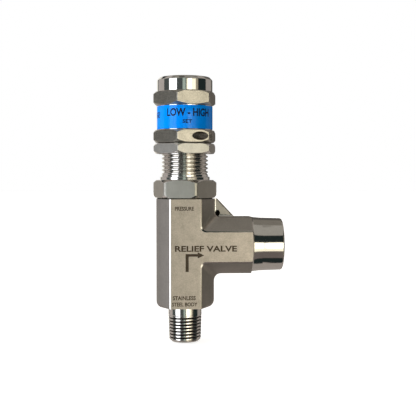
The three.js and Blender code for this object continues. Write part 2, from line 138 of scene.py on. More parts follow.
class Shell:
    """Collects patches of vertices and faces, in millimetres, and makes one mesh of them."""

    def __init__(self):
        self.points, self.faces, self.count = [], [], 0

    def add(self, points, faces):
        points = np.asarray(points, float)
        self.points.append(points)
        self.faces += [tuple(self.count + i for i in face) for face in faces]
        self.count += len(points)

    def sweep(self, radius, height, angles):
        """Rows of a turned surface. angles is one full turn, without its last repeat."""
        rows, columns = radius.shape[0], len(angles)
        radius = np.broadcast_to(radius, (rows, columns))
        height = np.broadcast_to(height, (rows, columns))
        points = np.stack([radius * np.sin(angles), -radius * np.cos(angles), height], -1)
        faces = [(i * columns + j, i * columns + (j + 1) % columns,
                  (i + 1) * columns + (j + 1) % columns, (i + 1) * columns + j)
                 for i in range(rows - 1) for j in range(columns)]
        self.add(points.reshape(-1, 3), faces)

    def helix(self, radius_at, pitch, low, high, angles, steps):
        """A right-hand thread between two heights. radius_at(height, phase) gives its surface."""
        columns, turns = len(angles), int((high - low) / pitch) + 2
        rows = (turns + 1) * steps + 1
        offset = np.arange(rows)[:, None] * pitch / steps + low - pitch
        raw = offset + pitch * (angles - angles[0])[None, :] / FULL_TURN
        phase = np.broadcast_to(np.arange(rows)[:, None] / steps % 1.0, raw.shape)
        height = np.clip(raw, low, high)
        # a height that was clipped keeps the phase that the thread has there
        phase = (phase + (height - raw) / pitch) % 1.0
        radius = radius_at(height, phase)
        points = np.stack([radius * np.sin(angles), -radius * np.cos(angles), height], -1)
        faces = []
        for i in range(rows - 1):
            for j in range(columns):
                k, lift = (j + 1) % columns, steps if j + 1 == columns else 0
                if i + 1 + lift < rows:
                    faces.append((i * columns + j, (i + lift) * columns + k,
                                  (i + 1 + lift) * columns + k, (i + 1) * columns + j))
        self.add(points.reshape(-1, 3), faces)

    def mesh(self, name, turn=None):
        """Welds the patches into one outward-facing mesh, in metres."""
        points = np.concatenate(self.points)
        if turn is not None:
            points = points @ np.array(turn.to_3x3()).T + np.array(turn.translation)
        keys, index = np.unique(np.round(points, 4), axis=0, return_inverse=True)
        index = index.reshape(-1)
        faces = []
        for face in self.faces:
            ring = [int(index[i]) for i in face]
            ring = [v for k, v in enumerate(ring) if v != ring[k - 1]]
            if len(set(ring)) >= 3 and len(set(ring)) == len(ring):
                faces.append(ring)
        mesh = bpy.data.meshes.new(name)
        mesh.from_pydata((keys * MM).tolist(), [], faces)
        mesh.validate()
        clean(mesh)
        return mesh


def clean(mesh):
    """Welds what coincides, drops what has no size and turns every face outwards."""
    work = bmesh.new()
    work.from_mesh(mesh)
    bmesh.ops.remove_doubles(work, verts=work.verts, dist=1e-7)
    bmesh.ops.dissolve_degenerate(work, edges=work.edges, dist=1e-7)
    bmesh.ops.recalc_face_normals(work, faces=work.faces)
    work.to_mesh(mesh)
    work.free()


def regions(mesh, choose):
    """Gives every face the material number that choose(centre, normal) finds for it."""
    values = []
    for name in ("center", "normal"):
        flat = np.zeros(3 * len(mesh.polygons))
        mesh.polygons.foreach_get(name, flat)
        values.append(flat.reshape(-1, 3))
    mesh.polygons.foreach_set("material_index", choose(values[0] / MM, values[1]))


def piece(name, mesh, body, materials, nodes=(), sharp=30, choose=None):
    """A finished piece: placed, shaded, riding on its body and standing for CAD nodes."""
    obj = bpy.data.objects.new(name, mesh)
    bpy.context.scene.collection.objects.link(obj)
    for material in materials:
        mesh.materials.append(material)
    if choose:
        regions(mesh, choose)
    mesh.polygons.foreach_set("use_smooth", np.ones(len(mesh.polygons), bool))
    mesh.set_sharp_from_angle(angle=math.radians(sharp))
    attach(obj, body)
    if nodes:
        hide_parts(*nodes)
    return obj


def round_angles(columns=96):
    return np.linspace(0, FULL_TURN, columns, endpoint=False)


def turned_mesh(name, corners, columns=96, turn=None, steps=4):
    """A plain turned solid, whose profile starts and ends on the axis."""
    shell = Shell()
    shell.sweep(*rounded(corners, steps), round_angles(columns))
    return shell.mesh(name, turn)


ALONG_OUTLET = Matrix.Translation((0, 0, OUTLET_Z)) @ Matrix.Rotation(math.pi / 2, 4, "Y")

# ---------------------------------------------------------------- hexagons

CORNER_STEPS = np.radians([0, 0.35, 0.7, 1.05, 1.4, 3.5, 7, 11, 15, 20, 25])


def hex_angles(turn):
    """Angles for a sweep with hexagon corners at `turn` degrees, closer together at the corners."""
    sector = np.concatenate([CORNER_STEPS, [np.pi / 6], np.pi / 3 - CORNER_STEPS[:0:-1]])
    return np.concatenate([math.radians(turn) + k * np.pi / 3 + sector for k in range(6)])


def hex_radius(angles, turn, across_flats, blank, corner=0.2):
    """Radius of a hexagon with rounded corners, cut from a round blank, at each angle."""
    half = across_flats / 2
    off = (angles - math.radians(turn) + np.pi / 6) % (np.pi / 3) - np.pi / 6
    flat = half / np.cos(np.pi / 6 - np.abs(off))
    centre = (half - corner) / math.cos(np.pi / 6)
    inside = np.maximum(corner ** 2 - (centre * np.sin(off)) ** 2, 0)
    arc = centre * np.cos(off) + np.sqrt(inside)
    limit = np.pi / 6 - math.atan((half - corner) * math.tan(np.pi / 6) / half)
    return np.minimum(np.where(np.abs(off) < limit, arc, flat), blank)


def hex_side(edge, low, high, low_face, high_face):
    """Corners up the outside of a hexagon, whose ends are chamfered from a face radius outwards.

    A chamfer climbs by `rise` at the corners and never by less than `least`. A band of the flank next to
    it gets rows of its own, so that its shading stays flat.
    """
    least, rise, soft, band = 0.12, 1.1, 0.2, 0.3
    sides = []
    for start, way, face in ((low, 1, low_face), (high, -1, high_face)):
        share = np.maximum(edge - least - face, 0) / (edge.max() - least - face)
        climb = least + (rise - least) * share
        sides.append([(np.minimum(face, edge - least), start, 0.08), (edge, start + way * climb, soft),
                      (edge, start + way * (climb + band))][::way])
    return sides[0] + sides[1]


# ---------------------------------------------------------------- threads


def thread_depth(phase, depth, crest):
    """Depth below the crest of a thread whose flanks round off into crest and root."""
    away = np.abs((phase + 0.5) % 1.0 - 0.5)
    down = np.clip((away - crest) / (0.5 - crest), 0, 1)
    return depth * (0.5 - 0.5 * np.cos(np.pi * down))


UNF_PITCH = 1.5875
PIPE_PITCH = 1.337
THREAD_STEPS = 12

# ---------------------------------------------------------------- materials


def node(tree, kind, **values):
    made = tree.nodes.new(kind)
    for name, value in values.items():
        setattr(made, name, value)
    return made


def ramp(tree, source, low, high, low_colour, high_colour):
    """Colour between two, over a range of the source value."""
    made = node(tree, "ShaderNodeValToRGB")
    made.color_ramp.elements[0].position, made.color_ramp.elements[1].position = low, high
    made.color_ramp.elements[0].color = (*low_colour, 1)
    made.color_ramp.elements[1].color = (*high_colour, 1)
    tree.links.new(source, made.inputs["Fac"])
    return made.outputs["Color"]


def ranged(tree, source, low, high):
    made = node(tree, "ShaderNodeMapRange")
    made.inputs["To Min"].default_value, made.inputs["To Max"].default_value = low, high
    tree.links.new(source, made.inputs["Value"])
    return made.outputs["Result"]


def coordinates(tree, stretch=(1, 1, 1)):
    """Object coordinates in millimetres, squeezed along each axis by its stretch."""
    place, scale = node(tree, "ShaderNodeTexCoord"), node(tree, "ShaderNodeMapping")
    scale.inputs["Scale"].default_value = [1000 / s for s in stretch]
    tree.links.new(place.outputs["Object"], scale.inputs["Vector"])
    return scale.outputs["Vector"]


def noise(tree, vector, scale, detail=3, roughness=0.6):
    made = node(tree, "ShaderNodeTexNoise")
    made.inputs["Scale"].default_value = scale
    made.inputs["Detail"].default_value = detail
    made.inputs["Roughness"].default_value = roughness
    tree.links.new(vector, made.inputs["Vector"])
    return made.outputs["Fac"]


def metal(name, dark, light, roughness, grain=2.0, stretch=(1, 1, 1), bump=0.1, depth=0.02):
    """Steel whose tint, gloss and surface vary with a fine grain and with broad cloudy patches."""
    material = bpy.data.materials.new(name)
    material.use_nodes = True
    tree = material.node_tree
    shader = tree.nodes["Principled BSDF"]
    shader.inputs["Metallic"].default_value = 1.0
    fine = noise(tree, coordinates(tree, stretch), grain)
    broad = noise(tree, coordinates(tree), 0.25, 2)
    mixed = node(tree, "ShaderNodeMath", operation="MULTIPLY_ADD")
    mixed.inputs[1].default_value = 0.35
    tree.links.new(broad, mixed.inputs[0])
    tree.links.new(ranged(tree, fine, 0, 0.65), mixed.inputs[2])
    tree.links.new(ramp(tree, mixed.outputs[0], 0.3, 0.7, dark, light), shader.inputs["Base Color"])
    tree.links.new(ranged(tree, fine, *roughness), shader.inputs["Roughness"])
    relief = node(tree, "ShaderNodeBump")
    relief.inputs["Strength"].default_value = bump
    relief.inputs["Distance"].default_value = depth * MM
    tree.links.new(fine, relief.inputs["Height"])
    tree.links.new(relief.outputs["Normal"], shader.inputs["Normal"])
    return material


def soft_material(name, dark, light, roughness, grain=3.0, bump=0.2, coat=0.0, specular=0.5):
    """Rubber, PTFE or printed film: not a metal, with a light mottle."""
    material = metal(name, dark, light, roughness, grain, bump=bump, depth=0.01)
    shader = material.node_tree.nodes["Principled BSDF"]
    shader.inputs["Metallic"].default_value = 0.0
    shader.inputs["Coat Weight"].default_value = coat
    shader.inputs["Coat Roughness"].default_value = 0.08
    shader.inputs["Specular IOR Level"].default_value = specular
    return material


FORGED = metal("forged_steel", (0.40, 0.37, 0.34), (0.50, 0.465, 0.42), (0.46, 0.56), grain=1.6,
               bump=0.25, depth=0.03)
BLASTED = metal("blasted_steel", (0.36, 0.315, 0.27), (0.61, 0.535, 0.475), (0.34, 0.48), grain=3.0,
                bump=0.4, depth=0.03)
TURNED = metal("turned_steel", (0.58, 0.56, 0.53), (0.72, 0.70, 0.66), (0.10, 0.18), grain=6.0,
               stretch=(4, 4, 0.25), bump=0.1, depth=0.004)
BORED = metal("bored_steel", (0.55, 0.53, 0.5), (0.68, 0.66, 0.62), (0.07, 0.12), grain=6.0,
              stretch=(0.25, 4, 4), bump=0.1, depth=0.004)
POLISHED = metal("polished_steel", (0.6, 0.59, 0.56), (0.7, 0.69, 0.65), (0.05, 0.1), grain=6.0,
                 stretch=(4, 4, 0.25), bump=0.05, depth=0.002)
MILLED = metal("milled_steel", (0.29, 0.275, 0.24), (0.62, 0.58, 0.51), (0.24, 0.36), grain=2.6,
               bump=0.7, depth=0.03)
NUT = metal("nut_steel", (0.47, 0.46, 0.43), (0.70, 0.68, 0.63), (0.36, 0.48), grain=2.6,
            bump=0.5, depth=0.03)
BRUSHED = metal("brushed_steel", (0.45, 0.43, 0.38), (0.58, 0.56, 0.5), (0.42, 0.5), grain=5.0,
                stretch=(0.3, 0.3, 8), bump=0.3, depth=0.01)
# inside of the wire hole: a rough drilled grain whose mottle runs down to black, the black being painted
# shade in the hole
DRILLED_AND_SHADE = metal("drilled_steel_and_painted_shade", (0.0, 0.0, 0.0), (0.55, 0.52, 0.45), (0.2, 0.5), grain=1.7, bump=0.8,
                depth=0.1)
# near-black painted shade: stands for the shadow in the inlet thread's roots, the web hole's wall and the
# joint under the bonnet
PAINTED_SHADE = metal("painted_shade_hollow", (0.01, 0.009, 0.008), (0.06, 0.055, 0.05), (0.5, 0.7), grain=4.0)
ETCHED = metal("etched_mark", (0.05, 0.035, 0.025), (0.12, 0.095, 0.075), (0.45, 0.6), grain=3.0)
WIRE = metal("spring_wire", (0.4, 0.39, 0.37), (0.5, 0.49, 0.47), (0.25, 0.35), grain=5.0)
RUBBER = soft_material("seal_rubber", (0.012, 0.012, 0.012), (0.03, 0.03, 0.03), (0.5, 0.7))
PTFE = soft_material("ptfe", (0.75, 0.74, 0.7), (0.85, 0.84, 0.8), (0.4, 0.5))
BLUE = soft_material("blue_film", (0.0, 0.24, 0.92), (0.0, 0.28, 1.0), (0.35, 0.42), grain=1.5,
                     bump=0.03, coat=0.32, specular=0.0)
INK = soft_material("label_ink", (0.004, 0.008, 0.03), (0.01, 0.02, 0.06), (0.35, 0.45), specular=0.1)

# ---------------------------------------------------------------- boolean work


def combined(target, other, operation):
    """Applies a boolean of another mesh to a mesh, and returns the new mesh."""
    base = bpy.data.objects.new("work", target)
    tool = bpy.data.objects.new("tool", other)
    for obj in (base, tool):
        bpy.context.scene.collection.objects.link(obj)
    modifier = base.modifiers.new("boolean", "BOOLEAN")
    modifier.operation, modifier.object, modifier.solver = operation, tool, "EXACT"
    modifier.material_mode = "TRANSFER"
    graph = bpy.context.evaluated_depsgraph_get()
    result = bpy.data.meshes.new_from_object(base.evaluated_get(graph), depsgraph=graph)
    for obj in (base, tool):
        bpy.data.objects.remove(obj)
    if not any(result.materials):
        result.materials.clear()
    return result


# ---------------------------------------------------------------- body

BODY_BOTTOM = 14.75
FLAT_HALF = 6.4
FLAT_DEPTH = HALF_DEPTH - 0.03
# the bright bevel between the flats and the slanted facets
BEVEL_INSIDE, BEVEL_OUTSIDE, BEVEL_DEPTH = 0.43, 0.1, 0.22
NECK_FLAT_SAG = 0.3
# corner radii, on the flats and at the half width
NECK_BLEND = (2.1, 3.0)
RIGHT_FOOT_CORNER = (0.05, 3.05)
LEFT_FOOT_CORNER = (0.05, 2.55)
# how far the forging runs past what the lathe leaves
OVERRUN = 3.0
ENVELOPE = 14.2
COLUMN_TOP_RADIUS, COLUMN_CHAMFER = 12.9, 0.55
SHOULDER = (26.6, 27.45)
BOSS_RADIUS = 10.95
BOSS_START = 31.4
PORT_RADIUS = 5.7
PORT_FLOOR = OUTLET_END - 14
PASSAGE_RADIUS = 4.0


def tee_outline(half):
    """Outline of the T in X and Z at a given half width. Its corners get rounder away from the flats."""
    share = max(half - FLAT_HALF, 0) / (HALF_WIDTH - FLAT_HALF)
    blend, right_foot, left_foot = (
        near + (far - near) * share for near, far in (NECK_BLEND, RIGHT_FOOT_CORNER, LEFT_FOOT_CORNER))
    neck = min(half, NECK_HALF_HEIGHT)
    middle = OUTLET_Z - NECK_FLAT_SAG * (1 - share)
    low, high = middle - neck, middle + neck
    top, right = BODY_TOP + OVERRUN, OUTLET_END + OVERRUN
    across, up = closed_profile([
        (0, BODY_BOTTOM), (half, BODY_BOTTOM, right_foot), (half, low, blend), (right, low), (right, high),
        (half, high, blend), (half, top), (-half, top), (-half, BODY_BOTTOM, left_foot)], steps=6)
    return across[:-1, 0], up[:-1, 0]


def forging():
    """The T lofted from its front flat over the slanted edges to its back flat."""
    waist = HALF_DEPTH - (HALF_WIDTH - FLAT_HALF)
    front = [(FLAT_HALF - 1.2, FLAT_DEPTH), (FLAT_HALF - BEVEL_INSIDE, FLAT_DEPTH, 0.1),
             (FLAT_HALF + BEVEL_OUTSIDE, FLAT_DEPTH - BEVEL_DEPTH, 0.1), (HALF_WIDTH, waist, 1.4)]
    half, depth = rounded([(x, -y, *r) for x, y, *r in front] + front[::-1], steps=5)
    rings = []
    for w, y in zip(half[:, 0], depth[:, 0]):
        across, up = tee_outline(w)
        rings.append(np.stack([across, np.full_like(across, y), up], -1))
    size, last = len(rings[0]), (len(rings) - 1) * len(rings[0])
    faces = [(i + j, i + (j + 1) % size, i + size + (j + 1) % size, i + size + j)
             for i in range(0, last, size) for j in range(size)]
    faces += [tuple(range(size)), tuple(last + j for j in range(size))]
    shell = Shell()
    shell.add(np.concatenate(rings), faces)
    return shell.mesh("forging")


def envelope():
    """What the lathe leaves: the column's top edge, and the neck's shoulder and round boss."""
    bottom = BODY_BOTTOM - OVERRUN
    column = turned_mesh("column", [
        (0, bottom), (ENVELOPE, bottom), (ENVELOPE, BODY_TOP - COLUMN_CHAMFER),
        (COLUMN_TOP_RADIUS, BODY_TOP, 0.2), (0, BODY_TOP)], columns=144)
    outlet = turned_mesh("outlet", [
        (0, 0), (ENVELOPE, 0), (ENVELOPE, SHOULDER[0]), (BOSS_RADIUS + 0.4, SHOULDER[1], 0.5),
        (BOSS_RADIUS + 0.2, 29.0, 3), (BOSS_RADIUS, BOSS_START, 5), (BOSS_RADIUS - 0.25, OUTLET_END, 0.8),
        (9.0, OUTLET_END), (0, OUTLET_END)], columns=144, turn=ALONG_OUTLET, steps=5)
    return combined(column, outlet, "UNION")


WEB_HALF = 1.5
WEB_TOP_X = 13.4
WEB_FOOT_X = 21.5
WEB_FILLET = 1.0
WEB_HOLE = Vector((13.45, -WEB_HALF, 53.1))
WEB_HOLE_RADIUS = 1.0
WEB_HOLE_CLIMB = math.radians(38)


def from_foot(x, z, corner=1.6):
    """Distance into the web from the column or the neck, whose meeting corner is round."""
    if x < corner and z < corner:
        return max(corner - math.hypot(corner - x, corner - z), 0)
    return min(x, z)


def web_hole():
    """A drill that climbs towards the back."""
    axis = Matrix.Translation(WEB_HOLE) @ Matrix.Rotation(WEB_HOLE_CLIMB - math.pi / 2, 4, "X")
    return turned_mesh("drill", [(0, -3), (WEB_HOLE_RADIUS, -3), (WEB_HOLE_RADIUS, 6), (0, 6)],
                       columns=32, turn=axis)


def web():
    """Thin plate in the upper inner corner, flared where it meets the column and the neck."""
    foot_x, foot_z = HALF_WIDTH, OUTLET_Z + NECK_HALF_HEIGHT
    lean = (WEB_FOOT_X - WEB_TOP_X) / (BODY_TOP - foot_z + 1)
    inset, rows, columns = 0.9, 30, 30
    points = []
    for i in range(rows + 1):
        z = foot_z - inset + (BODY_TOP - foot_z + inset) * (i / rows) ** 1.3
        edge = WEB_TOP_X + (BODY_TOP - z) * lean
        for j in range(columns + 1):
            x = foot_x - inset + (edge - foot_x + inset) * (j / columns) ** 1.3
            near = min(max(from_foot(x - foot_x, z - foot_z), 0) / WEB_FILLET, 1)
            flare = WEB_FILLET * (1 - math.sqrt(1 - (1 - near) ** 2))
            rim = max(0.0, 0.45 - (edge - x) / math.sqrt(2))
            points.append((x, -(WEB_HALF + flare - rim * 0.8), z))
    size, wide = len(points), columns + 1
    points += [(x, -y, z) for x, y, z in points]
    faces = []
    for a in (i * wide + j for i in range(rows) for j in range(columns)):
        quad = (a, a + 1, a + 1 + wide, a + wide)
        faces += [quad, tuple(size + v for v in reversed(quad))]
    border = ([j for j in range(wide)] + [i * wide + columns for i in range(1, rows + 1)]
              + [rows * wide + j for j in range(columns - 1, -1, -1)]
              + [i * wide for i in range(rows - 1, 0, -1)])
    for a, b in zip(border, border[1:] + border[:1]):
        faces.append((b, a, size + a, size + b))
    shell = Shell()
    shell.add(points, faces)
    return combined(shell.mesh("web"), web_hole(), "DIFFERENCE")


INLET_END_RADIUS = 6.57
INLET_NECK_RADIUS = 6.9
INLET_NECK_START = 12
INLET_TAPER = 1 / 32
INLET_RUN_OUT = 11.4
INLET_THREAD_DEPTH = 0.5


def inlet_crest(height):
    return INLET_END_RADIUS + INLET_TAPER * height


def inlet_thread():
    """Male taper pipe thread with a chamfered end, a run-out and a plain neck."""
    angles = round_angles()
    end = INLET_END_RADIUS - 1
    into_body = BODY_BOTTOM + 1.5

    def surface(height, phase):
        crest = inlet_crest(height)
        cut = crest - thread_depth(phase, INLET_THREAD_DEPTH, 0.2)
        fading = crest - 0.6 + np.maximum(height - INLET_RUN_OUT + 1.4, 0) * 0.5
        return np.minimum(np.maximum(cut, np.minimum(fading, crest)), end + height)

    shell = Shell()
    shell.helix(surface, PIPE_PITCH, 0, INLET_RUN_OUT, angles, THREAD_STEPS)
    shell.sweep(*rounded([
        (inlet_crest(INLET_RUN_OUT), INLET_RUN_OUT), (INLET_NECK_RADIUS, INLET_NECK_START),
        (INLET_NECK_RADIUS, into_body), (0, into_body)]), angles)
    shell.sweep(*rounded([(0, 0), (end, 0)]), angles)
    return shell.mesh("inlet_thread")


def port():
    """Void of the threaded outlet port and the passage behind it."""
    angles = round_angles()
    low, high = PORT_FLOOR + 2.2, OUTLET_END - 0.75
    groove, mouth, past_end = 0.75, PORT_RADIUS + 0.9, OUTLET_END + 1

    def surface(height, phase):
        fade = np.clip((height - low) / PIPE_PITCH, 0, 1)
        return PORT_RADIUS + (groove - thread_depth(phase, groove, 0.06)) * fade

    shell = Shell()
    shell.helix(surface, PIPE_PITCH, low, high, angles, THREAD_STEPS)
    shell.sweep(*rounded([(0, 2), (PASSAGE_RADIUS, 2), (PASSAGE_RADIUS, PORT_FLOOR),
                          (PORT_RADIUS, PORT_FLOOR + 1.0), (PORT_RADIUS, low)]), angles)
    phase = (high - low - PIPE_PITCH * (angles - angles[0]) / FULL_TURN) / PIPE_PITCH % 1.0
    lip = surface(np.full_like(angles, high), phase)
    shell.sweep(np.stack([lip, np.full_like(angles, mouth)]),
                np.stack([np.full_like(angles, high), np.full_like(angles, OUTLET_END)]), angles)
    shell.sweep(*rounded([(mouth, OUTLET_END), (mouth + 1, past_end), (0, past_end)]), angles)
    return shell.mesh("port", ALONG_OUTLET)


def bores():
    """Void from the inlet up to the bonnet's thread."""
    return turned_mesh("bores", [
        (0, -2), (4.2, -2), (3.9, 0), (3.2, 0.7), (3.2, 24), (5, 24), (5, 31), (6.35, 31), (6.35, 46.5),
        (8.2, 46.5), (8.2, 50.5), (9, 50.9), (9, BODY_TOP - 0.8), (9.8, BODY_TOP), (9.8, BODY_TOP + 2),
        (0, BODY_TOP + 2)])


def body():
    shape = combined(forging(), envelope(), "INTERSECT")
    for other, operation in ((web(), "UNION"), (inlet_thread(), "UNION"), (bores(), "DIFFERENCE"),
                             (port(), "DIFFERENCE")):
        shape = combined(shape, other, operation)
    return shape


def in_web_hole(x, y, z):
    """Whether a point is on the wall of the web's hole."""
    across = math.cos(WEB_HOLE_CLIMB) * (z - WEB_HOLE.z) - math.sin(WEB_HOLE_CLIMB) * (y - WEB_HOLE.y)
    near = np.hypot(x - WEB_HOLE.x, across) < WEB_HOLE_RADIUS + 0.05
    return near & (np.abs(y) < WEB_HALF - 0.001)


def body_regions(centre, normal):
    """0 as forged, 1 blasted, 2 turned about Z or bright edge, 3 turned about X, 4 near-black painted
    shade in the thread's roots and the web hole's wall.
    """
    x, y, z = centre.T
    facing = np.abs(normal[:, 1])
    about_z, about_x = np.hypot(x, y), np.hypot(y, z - OUTLET_Z)
    found = np.zeros(len(x), int)
    found[facing > 0.98] = 1
    found[(np.abs(facing - 0.9) < 0.06) & (np.abs(y) > FLAT_DEPTH - BEVEL_DEPTH)] = 2
    in_web = (x > HALF_WIDTH - 0.3) & (z > OUTLET_Z + NECK_HALF_HEIGHT - 0.3) & (np.abs(y) < 2 * WEB_HALF)
    found[in_web] = np.where(np.abs(y[in_web]) > WEB_HALF + 0.01, 2, 0)
    inner_corner = (normal[:, 0] > 0.25) & (normal[:, 2] > 0.25) & (facing > 0.4) & (x < 16)
    found[inner_corner] = 1
    found[(z < BODY_BOTTOM + 0.01) | (z > BODY_TOP - 0.01) | (about_z < 9.9)] = 2
    boss = (x > SHOULDER[0] - 0.6) & ((about_x < BOSS_RADIUS + 0.43) | (normal[:, 0] > 0.2))
    found[boss | (x > 5) & (about_x < PORT_RADIUS + 1)] = 3
    # index 4 is painted shade: the thread's roots and the web hole's wall get a near-black material for
    # the shadow in them
    on_thread = (z > 1.3) & (z < 11.2) & (about_z > 5)
    found[on_thread & (about_z < inlet_crest(z) - 0.27)] = 4
    found[in_web_hole(x, y, z)] = 4
    return found


piece("valve_body_forging", body(), "valve_body",
      [FORGED, BLASTED, TURNED, BORED, PAINTED_SHADE], ["body"], sharp=32, choose=body_regions)

# ---------------------------------------------------------------- marks


def lettering(text, slices=0, weight=0.0):
    """Letters as flat solids, as three shares of their box (across, up, thick) per point, and faces."""
    curve = bpy.data.curves.new("letters", "FONT")
    curve.body, curve.extrude, curve.resolution_u, curve.offset = text, 0.05, 4, weight
    obj = bpy.data.objects.new("letters", curve)
    bpy.context.scene.collection.objects.link(obj)
    graph = bpy.context.evaluated_depsgraph_get()
    work = bmesh.new()
    work.from_mesh(bpy.data.meshes.new_from_object(obj.evaluated_get(graph)))
    bpy.data.objects.remove(obj)
    bmesh.ops.remove_doubles(work, verts=work.verts, dist=1e-5)
    low, high = (pick(v.co.x for v in work.verts) for pick in (min, max))
    for k in range(1, slices):
        bmesh.ops.bisect_plane(work, geom=work.verts[:] + work.edges[:] + work.faces[:],
                               plane_co=(low + (high - low) * k / slices, 0, 0), plane_no=(1, 0, 0))
    work.verts.index_update()
    points = np.array([v.co for v in work.verts])
    faces = [[v.index for v in face.verts] for face in work.faces]
    work.free()
    return (points - points.min(0)) / np.ptp(points, axis=0), faces


MARK_BACK, MARK_FRONT = -HALF_DEPTH + 0.2, -HALF_DEPTH + 0.01


def on_flat(text, across, up, weight=0.03):
    """Letters lying on the body's front flat, between two X and two Z."""
    share, faces = lettering(text, weight=weight)
    x = across[0] + share[:, 0] * (across[1] - across[0])
    z = up[0] + share[:, 1] * (up[1] - up[0])
    return np.stack([x, MARK_BACK + share[:, 2] * (MARK_FRONT - MARK_BACK), z], -1), faces


def plate(outline):
    """A flat solid on the front flat with the given outline in X and Z."""
    size = len(outline)
    points = [(x, y, z) for y in (MARK_BACK, MARK_FRONT) for x, z in outline]
    faces = [tuple(range(size)), tuple(range(2 * size - 1, size - 1, -1))]
    faces += [(k, (k + 1) % size, size + (k + 1) % size, size + k) for k in range(size)]
    return points, faces


def marks():
    """Rows of plain words, and the arrow that shows the flow turning into the outlet."""
    shell = Shell()
    shell.add(*on_flat("PRESSURE", (-4.3, 3.3), (54.4, 56.0)))
    shell.add(*on_flat("RELIEF VALVE", (-4.3, 20.6), (37.9, 40.3)))
    shell.add(*on_flat("STAINLESS", (-5.2, 4.0), (18.4, 20.1)))
    shell.add(*on_flat("STEEL BODY", (-5.5, 4.7), (15.9, 17.5)))
    shell.add(*plate([(-0.05, 29.8), (1.2, 29.8), (1.2, 37.0), (-0.05, 37.0)]))
    shell.add(*plate([(1.2, 35.95), (4.8, 35.95), (4.8, 37.0), (1.2, 37.0)]))
    shell.add(*plate([(4.8, 35.2), (7.45, 36.45), (4.8, 37.7)]))
    return shell.mesh("marks")


piece("flow_marks", marks(), "valve_body", [ETCHED])

# ---------------------------------------------------------------- bonnet

HEX_FLATS = 23.2
HEX_FACE = 11.4
BONNET_HEX_TURN = 18.8
BONNET_HEX_BLANK = 13.15
BONNET_HEX = (59.3, 66.6)
# radii where the chamfers start, at the lower and the upper end
BONNET_HEX_FACES = (12.2, 11.75)
JOINT_RADIUS = 11.3
COLLAR, COLLAR_TOP = 10.25, 68.0
BONNET_MAJOR = 9.525
BONNET_THREAD_DEPTH = 0.86
# radii of the plug in the body, its thread, its relief, the spring's room and the stem's hole
BONNET_PLUG, BONNET_SCREW, BONNET_RELIEF, SPRING_ROOM, STEM_HOLE = 8.12, 8.95, 8.4, 6.75, 2.6


def bonnet_outside(edge):
    """Corners from the bonnet's lower end up to the foot of its thread."""
    joint = BODY_TOP + 0.01
    plug = [(4.8, BONNET_BOTTOM), (BONNET_PLUG, BONNET_BOTTOM, 0.3), (BONNET_PLUG, 47.6, 0.1),
            (6.9, 47.6), (6.9, 50), (BONNET_PLUG, 50, 0.1), (BONNET_PLUG, 50.4)]
    screw = [(BONNET_SCREW, 50.8, 0.1), (BONNET_SCREW, 58.2, 0.1), (BONNET_RELIEF, 58.7),
             (BONNET_RELIEF, joint), (JOINT_RADIUS, joint), (JOINT_RADIUS, BONNET_HEX[0])]
    collar = [(COLLAR, BONNET_HEX[1], 0.25), (COLLAR, COLLAR_TOP, 0.35), (BONNET_MAJOR, COLLAR_TOP)]
    return plug + screw + hex_side(edge, *BONNET_HEX, *BONNET_HEX_FACES) + collar


def bonnet():
    angles = hex_angles(BONNET_HEX_TURN)
    edge = hex_radius(angles, BONNET_HEX_TURN, HEX_FLATS, BONNET_HEX_BLANK, corner=0.12)
    tip = BONNET_MAJOR - 1.0

    def surface(height, phase):
        cut = BONNET_MAJOR - thread_depth(phase, BONNET_THREAD_DEPTH, 0.08)
        fading = tip + np.maximum(COLLAR_TOP + 1.9 - height, 0) * 0.9
        thread = np.maximum(cut, np.minimum(fading, BONNET_MAJOR))
        return np.minimum(thread, tip + BONNET_TOP - height)

    shell = Shell()
    shell.sweep(*rounded(bonnet_outside(edge)), angles)
    shell.helix(surface, UNF_PITCH, COLLAR_TOP, BONNET_TOP, angles, THREAD_STEPS)
    shell.sweep(*rounded([
        (tip, BONNET_TOP), (SPRING_ROOM, BONNET_TOP, 0.3), (SPRING_ROOM, 58, 0.8), (STEM_HOLE, 58, 0.3),
        (STEM_HOLE, 53.2), (4.3, 53.2), (4.3, 49.2), (4.8, 49.2), (4.8, BONNET_BOTTOM)]), angles)
    return shell.mesh("bonnet")


def hex_regions(spans):
    """Chooser: 1 on the flanks of hexagons that stand in the given height spans, else 0."""
    def choose(centre, normal):
        found = np.zeros(len(centre), int)
        outside = np.hypot(centre[:, 0], centre[:, 1]) > HEX_FACE + 0.02
        upright = np.abs(normal[:, 2]) < 0.3
        for low, high in spans:
            found[outside & upright & (centre[:, 2] > low) & (centre[:, 2] < high)] = 1
        return found
    return choose


def bonnet_regions(centre, normal):
    """0 turned, 1 brushed flanks, 2 painted shade: a near-black line along the joint on top of the body,
    for the shadow in it.
    """
    found = hex_regions([BONNET_HEX])(centre, normal)
    # the washer face below the hexagon gets near-black painted shade, standing for the shadow in the joint
    outside = np.hypot(centre[:, 0], centre[:, 1]) > JOINT_RADIUS - 0.1
    found[outside & (centre[:, 2] < BONNET_HEX[0])] = 2
    return found


piece("threaded_bonnet", bonnet(), "valve_body", [TURNED, BRUSHED, PAINTED_SHADE],
      ["bonnet"], choose=bonnet_regions)

# ---------------------------------------------------------------- cap, label and lock nut

CAP_TURN = -14.5
NUT_TURN = CAP_TURN + 0.5
CAP_HEX_BLANK = 13.33
CAP_LOWER_HEX = (CAP_BOTTOM, 87.0)
CAP_UPPER_HEX = (97.0, 102.6)
CAP_LOWER_FACES, CAP_UPPER_FACES, NUT_FACES = (11.9, 12.1), (11.45, 12.0), (12.0, 12.3)
CAP_BORE = 9.6
CAP_ROOF = 103.2
CAP_BARREL = 11.2
HEAD_CHAMFER = (1.1, 1.2)
WIRE_HOLE_RADIUS = 1.7


def wire_hole():
    """Where the sealing wire's hole runs, across one corner of the cap's lower hexagon."""
    corner, reach, height = math.radians(CAP_TURN + 60), 11.5, 84.4
    return (Matrix.Translation((reach * math.sin(corner), -reach * math.cos(corner), height))
            @ Matrix.Rotation(corner, 4, "Z") @ Matrix.Rotation(math.pi / 2, 4, "Y"))


